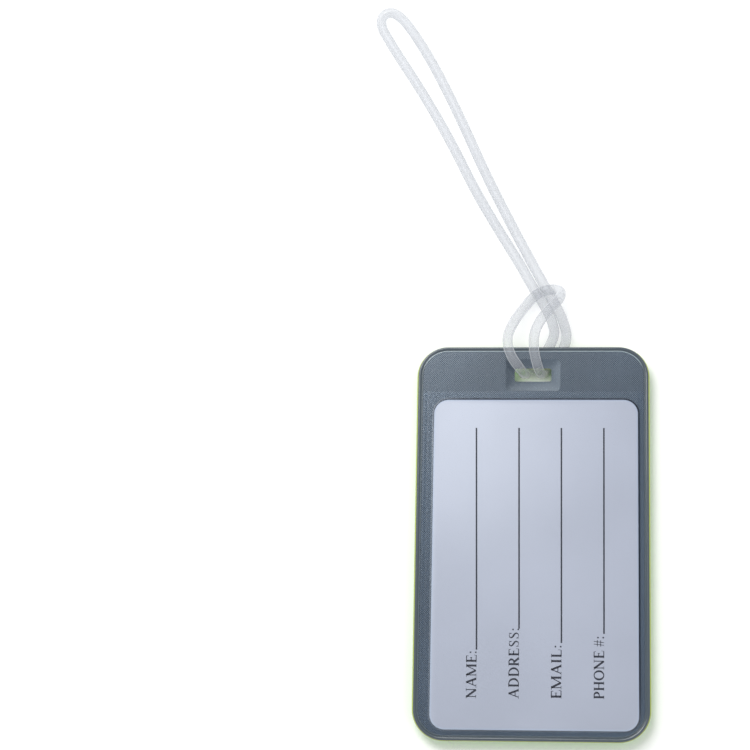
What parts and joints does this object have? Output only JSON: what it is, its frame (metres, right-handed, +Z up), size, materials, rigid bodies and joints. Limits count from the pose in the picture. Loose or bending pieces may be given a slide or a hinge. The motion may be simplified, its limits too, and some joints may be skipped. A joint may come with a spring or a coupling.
{
  "type": "luggage tag",
  "caption": "Padded rectangular luggage tag with a glossy front, a clear pocket holding a sliding identity card, and a looped plastic cord strap through a slot.",
  "frame": {"origin": "under the centre of the tag's outline, on the surface that the padded front lies on", "axes": "+X across the tag, +Y along the tag towards the strap slot, +Z up out of the card side"},
  "size_m": [0.0776, 0.2093, 0.0091],
  "materials": {
    "green_gloss": "gloss",
    "foam": "matte",
    "board": "matte",
    "grey_mesh": "satin",
    "grey_weld": "gloss",
    "clear_film": "gloss",
    "card_stock": "satin",
    "card_ink": "matte",
    "clear_cord": "gloss"
  },
  "bodies": {
    "pouch": {"front_cover": "green_gloss", "foam_pad": "foam", "stiffener_board": "board", "mesh_backing": "grey_mesh", "border_weld": "grey_weld", "slot_weld": "grey_weld", "window_film": "clear_film"},
    "card": {"id_card": "card_stock"},
    "strap": {"strap_loop": "clear_cord"}
  },
  "joints": [
    {"name": "card_slide", "type": "slide", "parent": "pouch", "child": "card", "axis": [0, 1, 0], "range_m": [0, 0.0045]},
    {"name": "strap_swing", "type": "hinge", "parent": "pouch", "child": "strap", "pos_m": [0, 0.046, 0.0038], "axis": [0, 0, 1], "range_deg": [-5, 5]}
  ]
}
